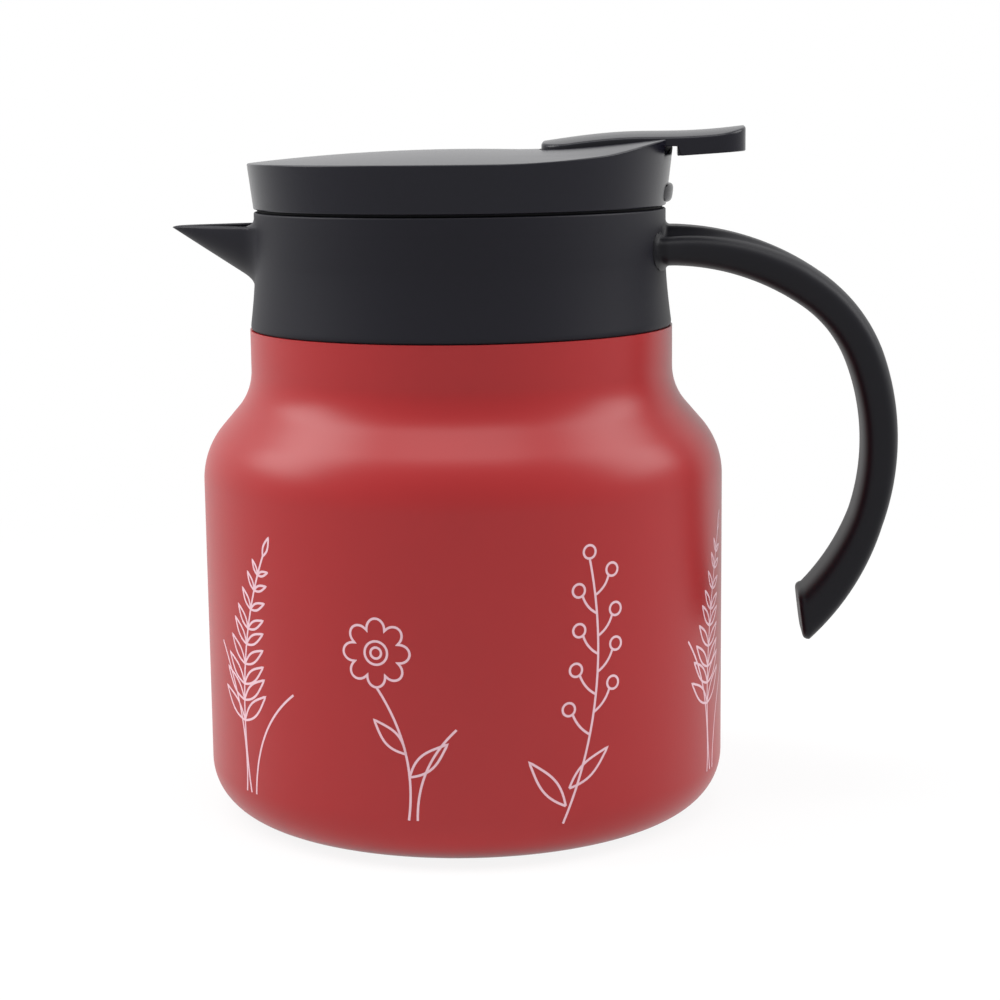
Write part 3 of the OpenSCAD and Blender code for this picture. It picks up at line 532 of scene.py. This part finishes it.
# Lid cover
# Black moulded shell that clips over the plug: a flared skirt and a shallow dome that sweeps up to the lever
# in its slot. A low lip closes the slot at the rear rim, and a soft tab on the skirt below lines the lid up.
LID_Z, LID_R, FLARE, COVER_T, IN_EDGE = COLLAR_Z + 1.0, 49.4, math.radians(6.9), 2.0, 1.0
DOME_Z, DOME_RISE, RIM_EDGE, RIM_PASSES = LID_Z + 13.25, 2.65, 0.45, 12
SWEEP_START, SWEEP_R, SWELL, SWELL_GROWTH, SWELL_FADE = 12.0, 190.0, 1.1, 36, 22
FOOT_EDGE, FOOT_END, DRIP_EDGE, IN_FOOT = 0.35, 7, 0.3, 0.3
LEVER_FRONT, LEVER_REACH, LEVER_HALF, NOSE_ROUND, TAIL_ROUND = 20.0, 68.0, 13.0, 7.0, 7.5
SLOT_GAP, SLOT_FLOOR, CUT_TOP, CUT_POINTS = 0.5, LID_Z + 10.4, 175.0, 160
TAB_Z, TAB_HALF, TAB_TALL, TAB_SUNK, TAB_OUT = LID_Z + 2.6, 10, 2.3, 0.5, 1.8
LIP_Z, LIP_END_Z, LIP_HALF, LIP_CROWN_R = 159.5, 155.6, 14.5, 54.8


def lid_top(x, y):
    """Height of the lid's top: a shallow dome, a parabola that lifts it behind the sweep's start, and a swell
    beside the lever that grows backward as a smooth step and dies out sideways as a quarter cosine."""
    back = np.clip((x - SWEEP_START) / SWELL_GROWTH, 0, 1)
    aside = np.clip((np.abs(y) - LEVER_HALF) / SWELL_FADE, 0, 1)
    swell = SWELL * back ** 2 * (3 - 2 * back) * np.cos(np.pi / 2 * aside)
    return (DOME_Z + np.clip(x - SWEEP_START, 0, None) ** 2 / (2 * SWEEP_R) + swell
            - DOME_RISE * (x * x + y * y) / LID_R ** 2)


def lid_rows(inset, drop, edge, columns):
    """Rows from the pole of the top out to the rim and over its rounded edge, a parabola, with the radius and
    height where the skirt takes over. The rim is where the flared skirt meets the top, found by repeating
    radius = skirt radius at the top's height. inset moves the skirt in, and drop moves the top down."""
    turn = np.linspace(0, 2 * np.pi, columns, endpoint=False)

    def top_z(radius):
        """Height of the top at a radius along every turn."""
        return lid_top(radius * np.cos(turn), radius * np.sin(turn)) - drop

    rim = np.full(columns, LID_R)
    for _ in range(RIM_PASSES):
        rim = LID_R - inset + (top_z(rim) - LID_Z) * math.tan(FLARE)
    share = np.concatenate([[0], np.linspace(0.04, 1, 44)])[:, None]
    radius = (rim - edge) * share
    top = polar(radius, turn, top_z(radius))
    bend = np.linspace(0, 1, 9)[1:, None]
    start_r, start_z, corner_z = radius[-1], top[-1, :, 2], top_z(rim)
    end_r, end_z = rim - edge * math.tan(FLARE), corner_z - edge
    edge_r = (1 - bend) ** 2 * start_r + 2 * bend * (1 - bend) * rim + bend ** 2 * end_r
    edge_z = (1 - bend) ** 2 * start_z + 2 * bend * (1 - bend) * corner_z + bend ** 2 * end_z
    return turn, top, polar(edge_r, turn, edge_z), end_r, end_z


def cover_grid(columns=320):
    """The cover's closed wall: inside of the dome from its pole, down the skirt's inside, round the foot,
    whose outer edge hangs a little lower, up the skirt's outside and in over the dome to the outer pole."""
    turn, in_top, in_corner, in_r, in_z = lid_rows(COVER_T, COVER_T, IN_EDGE, columns)
    _, top, corner, out_r, out_z = lid_rows(0, 0, RIM_EDGE, columns)
    drop = np.linspace(0, 1, 14)[1:, None]
    inner_r = in_r + (LID_R - COVER_T - in_r) * drop
    inner_z = in_z + (LID_Z + IN_FOOT - in_z) * drop
    foot = np.radians(np.linspace(-180, FOOT_END, 12))[:, None]
    foot_r = LID_R - FOOT_EDGE + FOOT_EDGE * np.cos(foot) + 0 * turn
    foot_z = LID_Z - DRIP_EDGE + FOOT_EDGE + FOOT_EDGE * np.sin(foot) + 0 * turn
    climb = np.linspace(0, 1, 16)[1:-1, None]
    side_r = foot_r[-1] + (out_r - foot_r[-1]) * climb
    side_z = foot_z[-1] + (out_z - foot_z[-1]) * climb
    wall = polar(np.concatenate([inner_r, foot_r, side_r]), turn, np.concatenate([inner_z, foot_z, side_z]))
    return np.concatenate([in_top, in_corner, wall, corner[::-1], top[::-1]])


def lever_outline(grow, count):
    """Plan of the lever: a bar with wide round corners, grown all round by grow, as points an even step
    apart."""
    front, tail = NOSE_ROUND + grow, TAIL_ROUND + grow
    parts = []
    for centre_x, centre_y, radius, start in (
            (LEVER_REACH - TAIL_ROUND, -LEVER_HALF + TAIL_ROUND, tail, -90),
            (LEVER_REACH - TAIL_ROUND, LEVER_HALF - TAIL_ROUND, tail, 0),
            (LEVER_FRONT + NOSE_ROUND, LEVER_HALF - NOSE_ROUND, front, 90),
            (LEVER_FRONT + NOSE_ROUND, -LEVER_HALF + NOSE_ROUND, front, 180)):
        parts.append(arc(centre_x, centre_y, radius, start, start + 90, 24))
    path = np.concatenate(parts + [parts[0][:1]])
    walked = np.concatenate([[0], np.cumsum(np.hypot(*np.diff(path, axis=0).T))])
    places = np.linspace(0, walked[-1], count, endpoint=False)
    return np.stack([np.interp(places, walked, path[:, 0]), np.interp(places, walked, path[:, 1])], -1)


def slot_grid():
    """Upright block over the lever's plan, grown by the slot's gap, from the slot's floor to above the lid;
    its two ends close to a point."""
    plan = lever_outline(SLOT_GAP, CUT_POINTS)
    layers = plan.mean(0) + (plan - plan.mean(0)) * np.array([0, 1, 1, 0])[:, None, None]
    height = np.array([SLOT_FLOOR, SLOT_FLOOR, CUT_TOP, CUT_TOP])[:, None, None]
    return np.concatenate([layers, np.broadcast_to(height, (4, CUT_POINTS, 1))], -1)


def tab_grid():
    """Soft swelling bent round the skirt, 10 mm to each side and 2.3 mm up and down, squared with exponent
    0.6. Its outward reach falls off as the 1.5th power of a sine, so that its ends run out."""
    lon = np.linspace(0, 2 * np.pi, 64, endpoint=False)[None, :]
    lat = np.linspace(-np.pi / 2, np.pi / 2, 25)[:, None]
    girth = signed_power(np.cos(lat), SQUARED)
    along, out = girth * np.cos(lon), girth * signed_power(np.sin(lon), 1.5)
    height = TAB_Z + TAB_TALL * signed_power(np.sin(lat), SQUARED) + 0 * lon
    radius = LID_R + (height - LID_Z) * math.tan(FLARE) - TAB_SUNK + TAB_OUT * out
    return polar(radius, TAB_HALF * along / LID_R, height)


def lip_grid(columns=61):
    """Low lip that closes the rear rim inside the slot, under the lever: a bar bent round the axis, 1.7 mm
    thick, whose outside follows the flared skirt. Its rounded top is crowned as a circle, like the lever over
    it, and its ends close in the slot's sides."""
    turn = np.linspace(-1, 1, columns) * LIP_HALF / LID_R
    crown = np.sqrt(LIP_CROWN_R ** 2 - (LID_R * np.sin(turn)) ** 2) - LIP_CROWN_R
    section = np.array([[-1.7, -3.4], [-1.7, -0.4], [-1.6, -0.12], [-1.3, 0], [-0.45, 0], [-0.15, -0.12],
                        [-0.02, -0.45], [-0.02, -3.4]])
    height = LIP_Z + section[:, 1:] + crown
    height[[0, -1]] = LIP_END_Z
    radius = LID_R + (height - LID_Z) * math.tan(FLARE) + section[:, :1]
    bar = polar(radius, turn, height).transpose(1, 0, 2)
    middle = bar.mean(1, keepdims=True) + 0 * bar
    return np.concatenate([middle[:1], bar, middle[-1:]])


cover = skin("lid_cover_shell", cover_grid())
cutter = skin("slot_cutter", slot_grid(), ring=False)
cut = cover.modifiers.new("slot", "BOOLEAN")
cut.operation, cut.object, cut.solver = "DIFFERENCE", cutter, "EXACT"
bpy.context.view_layer.update()
carved = bpy.data.meshes.new_from_object(cover.evaluated_get(bpy.context.evaluated_depsgraph_get()))
cover.modifiers.clear()
cover.data = carved
bpy.data.objects.remove(cutter)
carved.shade_smooth()
carved.set_sharp_from_angle(angle=CREASE)
lid_tab = skin("lid_tab", tab_grid(), ring=False)
lip = skin("lid_rear_lip", lip_grid(), ring=False)
lid_plastic = finish("black_lid_plastic", (0.0068, 0.0066, 0.0115), 0.26, grain=0.5, relief=0.0008,
                     mottle=0.05, gloss=0.20)
for piece in (cover, lid_tab, lip):
    dress(piece, lid_plastic)
    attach(piece, "lid")
    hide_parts("lid_cover")

# Lid seals
# The drip seal is black rubber squeezed between collar and lid, the main gasket is pale silicone stretched on
# the plug's shoulder; both stay on the collar and the mouth as the lid turns.
DRIP_IN, DRIP_OUT, DRIP_ROUND = 46.2, 48.5, 0.3
GASKET_IN, GASKET_OUT, GASKET_H, GASKET_ROUND = 36.9, 39.3, 1.6, 0.5


def rounded_ring(inner, outer, low, high, edge):
    """Closed profile of a ring of rectangular section with all four corners rounded by edge."""
    return np.concatenate([
        arc(outer - edge, low + edge, edge, -90, 0, 6), arc(outer - edge, high - edge, edge, 0, 90, 6),
        arc(inner + edge, high - edge, edge, 90, 180, 6), arc(inner + edge, low + edge, edge, 180, 270, 6)])


drip_seal = turned("drip_seal_ring", rounded_ring(DRIP_IN, DRIP_OUT, COLLAR_Z, LID_Z, DRIP_ROUND))
dress(drip_seal, finish("black_rubber", (0.004, 0.004, 0.005), 0.70, grain=0.4, relief=0.01, gloss=0.1))
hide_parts("drip_seal")
gasket = turned("lid_gasket_ring",
                rounded_ring(GASKET_IN, GASKET_OUT, MOUTH_Z, MOUTH_Z + GASKET_H, GASKET_ROUND))
dress(gasket, silicone)
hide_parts("lid_gasket")
for piece in (drip_seal, gasket):
    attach(piece, "lid_seals")

# Lid works
# Inside the lid: the plug with its valve seat, and the deck that closes the pour chamber and holds the
# lever's ears, both moulded in black; the guide seal is silicone and the hinge pin is steel.
for part, material in (("lid_plug", black_plastic), ("lid_deck", black_plastic), ("stem_seal", silicone),
                       ("lever_pin", pin_steel)):
    dress(nodes_of[part], material)

# Lever
# The thumb lever is one black moulding: a crowned plate that rises out of the lid and turns up at the thumb,
# where its edge is turned down behind the rim, with a hub on the pin and a fork that lifts the valve.
LEVER_STEP, LEVER_RISE, CREST_AT, THUMB_RISE, THUMB_AT = 1.7, 2.15, 0.5, 1.15, 0.62
CROWN_R, PLATE_T, LEVER_EDGE, LEVER_WALL = 53.0, 2.0, 0.6, 1.6
SKIRT_X, SKIRT_Z, SKIRT_RAMP, SKIRT_DROP, SKIRT_RISE = 52.07, LID_Z + 11.6, 0.8, 0.3, 0.06
SKIRT_ROUND, SKIRT_LEAN = 0.2, 0.25
PIVOT_X, PIVOT_Z, HUB_R, HUB_TOP, HUB_HALF = 40.0, LID_Z + 10, 3.0, 160.6, 7.2
FORK_Z, FORK_R, FORK_IN, FORK_OUT = LID_Z + 2.9, 1.6, 3.3, 7.1
BAR_HALF, BAR_TOP = 12.0, 161.2


def lever_height(x, y, drop=0.0):
    """Height of the lever's top, or of a surface drop below it: the crest rises as a quarter sine to the
    middle of its length, runs level and turns up at the thumb as a parabola. Each cross-section is a circle
    about a line 53 mm under the dome."""
    share = np.clip((x - LEVER_FRONT) / (LEVER_REACH - LEVER_FRONT), 0, 1)
    late = np.clip(share - THUMB_AT, 0, None) / (1 - THUMB_AT)
    crest = (DOME_Z + LEVER_STEP + LEVER_RISE * np.sin(np.pi / 2 * np.clip(share / CREST_AT, 0, 1))
             + THUMB_RISE * late ** 2)
    base = DOME_Z - CROWN_R
    return base + np.sqrt((crest - base - drop) ** 2 - y ** 2)


def lever_grid(count=340):
    """The lever's plate as a closed skin: rings shrink from the plan to its middle line on top and again
    below. The side reaches down to the plate's underside, and behind the rim to the turned-down edge."""
    plan = lever_outline(0, count)
    spine_x = np.clip(plan[:, 0], LEVER_FRONT + LEVER_HALF, LEVER_REACH - LEVER_HALF)
    spine = np.stack([spine_x, 0 * plan[:, 1]], -1)
    away = plan - spine
    away /= np.linalg.norm(away, axis=1)[:, None]

    def moved_in(inset):
        """Plan points moved in from the edge by inset millimetres, toward the middle line."""
        return plan - away * inset

    def top(points, drop=0.0):
        """Height of the lever's top at plan points, or of a surface drop below it."""
        return lever_height(points[:, 0], points[:, 1], drop)

    def foot(points):
        """Height of the edge's foot: the plate's underside, or behind the rim the turned-down edge's."""
        plate = top(points, PLATE_T)
        turned_down = np.clip((points[:, 0] - SKIRT_X) / SKIRT_RAMP, 0, 1)
        edge = SKIRT_Z - SKIRT_DROP + (points[:, 0] - SKIRT_X) * SKIRT_RISE
        return plate + (edge - plate) * turned_down

    rows = []
    for share in np.linspace(0, 1, 22)[:-1]:
        points = spine + (moved_in(LEVER_EDGE) - spine) * share
        rows.append((points, top(points)))
    for bend in np.linspace(0, np.pi / 2, 7):
        points = moved_in(LEVER_EDGE * (1 - math.sin(bend)))
        rows.append((points, top(points) - LEVER_EDGE * (1 - math.cos(bend))))
    side_top, side_low = rows[-1][1], foot(plan) + SKIRT_ROUND
    for share in (0.25, 0.5, 0.75):
        rows.append((plan, side_top + (side_low - side_top) * share))
    inner = moved_in(LEVER_WALL - SKIRT_LEAN)
    rows += [(plan, side_low), (moved_in(SKIRT_ROUND), foot(plan)), (inner, foot(inner))]
    for share in np.linspace(1, 0, 12):
        points = spine + (moved_in(LEVER_WALL) - spine) * share
        rows.append((points, top(points, PLATE_T)))
    return np.stack([np.column_stack(row) for row in rows])


def slab(outline, near, far):
    """Flat bar: an outline in the upright plane (distance, height), carried from one side to the other and
    closed at the middle of each."""
    outline = np.array(outline, float)
    middle = outline.mean(0)
    rows = []
    for share, side in ((0, near), (1, near), (1, far), (0, far)):
        ring = middle + (outline - middle) * share
        rows.append(np.column_stack([ring[:, 0], np.full(len(outline), side), ring[:, 1]]))
    return np.stack(rows)


lever = skin("lever_plate", lever_grid(), ring=False)
hub_outline = np.concatenate([[[PIVOT_X - HUB_R, HUB_TOP], [PIVOT_X - HUB_R, PIVOT_Z]],
                              arc(PIVOT_X, PIVOT_Z, HUB_R, 180, 360, 20)[1:], [[PIVOT_X + HUB_R, HUB_TOP]]])
arm_outline = np.concatenate([arc(0, FORK_Z, FORK_R, 90, 270, 12), [
    [24, FORK_Z - FORK_R], [38.5, 153.2], [40, 158.4], [30, 155.5], [20, 150.5]]])
bar_outline = [[SKIRT_X, SKIRT_Z - 0.25], [SKIRT_X + LEVER_WALL, SKIRT_Z - 0.2],
               [SKIRT_X + LEVER_WALL, BAR_TOP + 0.3], [SKIRT_X, BAR_TOP]]
fork = [skin("lever_hub", slab(hub_outline, -HUB_HALF, HUB_HALF), ring=False),
        skin("lever_arm_near", slab(arm_outline, -FORK_OUT, -FORK_IN), ring=False),
        skin("lever_arm_far", slab(arm_outline, FORK_IN, FORK_OUT), ring=False),
        skin("lever_cross_bar", slab(bar_outline, -BAR_HALF, BAR_HALF), ring=False)]
for piece in [lever, *fork]:
    dress(piece, lid_plastic)
    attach(piece, "lever")
    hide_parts("lever")

# Valve
# White stem and cap, black disc and a pale silicone washer that closes the seat. A coil of stainless spring
# wire holds the disc down; it is drawn once at its rest length and moves with the valve without closing up.
SPRING_R, WIRE_R, SPRING_TURNS, VALVE_TRAVEL = 4.5, 0.4, 6, 5.0
CLOSED_TURNS, CLOSED_PITCH, OPEN_TURNS, OPEN_RISE, SMOOTHING = 0.9, 0.85, 1.3, 1.9, 6
white_plastic = finish("white_plastic", (0.70, 0.70, 0.68), 0.42, grain=0.4, relief=0.006)
for part, material in (("valve_stem", white_plastic), ("stem_cap", white_plastic),
                       ("valve_disc", black_plastic), ("valve_gasket", silicone)):
    dress(nodes_of[part], material)
spring_low, spring_high = (corner[2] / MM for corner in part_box("valve_spring"))


def spring_grid(steps=36):
    """Wire of the spring: rows run round the stem with an even angle, and columns go round the wire. The
    height climbs evenly but for an end turn at each end, which lies closed with a pitch of a hair over the
    wire's thickness. A running mean rounds the changes of slope."""
    turns = np.linspace(0, SPRING_TURNS, SPRING_TURNS * steps + 1)
    span, closed = spring_high - spring_low - 2 * WIRE_R, CLOSED_TURNS * CLOSED_PITCH
    climb = np.interp(turns, [0, CLOSED_TURNS, OPEN_TURNS, SPRING_TURNS - OPEN_TURNS,
                              SPRING_TURNS - CLOSED_TURNS, SPRING_TURNS],
                      [0, closed, OPEN_RISE, span - OPEN_RISE, span - closed, span])
    window = 2 * SMOOTHING + 1
    climb = np.convolve(np.pad(climb, SMOOTHING, "reflect", reflect_type="odd"), np.ones(window) / window,
                        "valid")
    round_wire = np.linspace(0, 2 * np.pi, 10, endpoint=False)
    wire = polar(SPRING_R + WIRE_R * np.cos(round_wire), 2 * np.pi * turns[:, None],
                 spring_low + WIRE_R + climb[:, None] + WIRE_R * np.sin(round_wire))
    middle = wire.mean(1, keepdims=True) + 0 * wire
    return np.concatenate([middle[:1], wire, middle[-1:]])


spring = skin("spring_wire", spring_grid(), ring=False)
dress(spring, pin_steel)
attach(spring, "valve")
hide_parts("valve_spring")
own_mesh(spring)

# Floor, backdrop and lamps
# A flat floor of white paper that fades into plain white away from the jug, with tall soft lamps at both
# sides and one above.
FLOOR_HALF, LAMP_AIM = 3.0, Vector((0, 0, 0.08))


def white_share(nodes, links):
    """Value that is 1 on camera, glossy and clear rays and 0 on all others."""
    path = nodes.new("ShaderNodeLightPath")
    total = path.outputs["Is Camera Ray"]
    for ray in ("Is Glossy Ray", "Is Transmission Ray"):
        add = nodes.new("ShaderNodeMath")
        add.operation, add.use_clamp = "ADD", True
        links.new(total, add.inputs[0])
        links.new(path.outputs[ray], add.inputs[1])
        total = add.outputs[0]
    return total


paper = bpy.data.materials.new("floor_paper")
paper.use_nodes = True
nodes, links = paper.node_tree.nodes, paper.node_tree.links
nodes.clear()
out, mix, lit, plain = (nodes.new("ShaderNode" + kind)
                        for kind in ("OutputMaterial", "MixShader", "BsdfDiffuse", "Emission"))
lit.inputs["Color"].default_value = (0.95, 0.95, 0.95, 1)
place, away, fade, share = (nodes.new("ShaderNode" + kind)
                            for kind in ("TexCoord", "VectorMath", "MapRange", "Math"))
away.operation = "LENGTH"
fade.interpolation_type = "SMOOTHSTEP"
for socket, value in (("From Min", 0.10), ("From Max", 0.45), ("To Min", 0.88), ("To Max", 1.0)):
    fade.inputs[socket].default_value = value
share.operation = "MULTIPLY"
links.new(place.outputs["Object"], away.inputs[0])
links.new(away.outputs["Value"], fade.inputs["Value"])
links.new(fade.outputs["Result"], share.inputs[0])
links.new(white_share(nodes, links), share.inputs[1])
links.new(share.outputs[0], mix.inputs[0])
links.new(lit.outputs[0], mix.inputs[1])
links.new(plain.outputs[0], mix.inputs[2])
links.new(mix.outputs[0], out.inputs[0])
floor_mesh = bpy.data.meshes.new("floor")
floor_mesh.from_pydata([(x * FLOOR_HALF, y * FLOOR_HALF, 0) for x, y in ((-1, -1), (1, -1), (1, 1), (-1, 1))],
                       [], [(0, 1, 2, 3)])
floor = bpy.data.objects.new("floor", floor_mesh)
bpy.context.scene.collection.objects.link(floor)
dress(floor, paper)

world = bpy.data.worlds.new("studio")
bpy.context.scene.world = world
world.use_nodes = True
sky, look = world.node_tree.nodes, world.node_tree.links
ambient, bright = sky["Background"], sky.new("ShaderNodeBackground")
blend_sky = sky.new("ShaderNodeMixShader")
for light, strength in ((ambient, 0.30), (bright, 1.0)):
    light.inputs["Color"].default_value = (1, 1, 1, 1)
    light.inputs["Strength"].default_value = strength
look.new(white_share(sky, look), blend_sky.inputs[0])
look.new(ambient.outputs[0], blend_sky.inputs[1])
look.new(bright.outputs[0], blend_sky.inputs[2])
look.new(blend_sky.outputs[0], sky["World Output"].inputs[0])

for name, place, size, power in (("left_softbox", (-0.80, 0.0, 0.78), (0.6, 0.8), 9.2),
                                 ("right_softbox", (0.82, 0.12, 0.72), (0.6, 0.8), 7.2),
                                 ("top_softbox", (0.0, -0.20, 1.2), (0.9, 0.7), 7.5)):
    lamp = bpy.data.objects.new(name, bpy.data.lights.new(name, "AREA"))
    lamp.data.shape, (lamp.data.size, lamp.data.size_y), lamp.data.energy = "RECTANGLE", size, power
    lamp.location = place
    lamp.rotation_mode = "QUATERNION"
    lamp.rotation_quaternion = (LAMP_AIM - Vector(place)).to_track_quat("-Z", "Y")
    bpy.context.scene.collection.objects.link(lamp)

bpy.context.scene.view_settings.view_transform = "Standard"
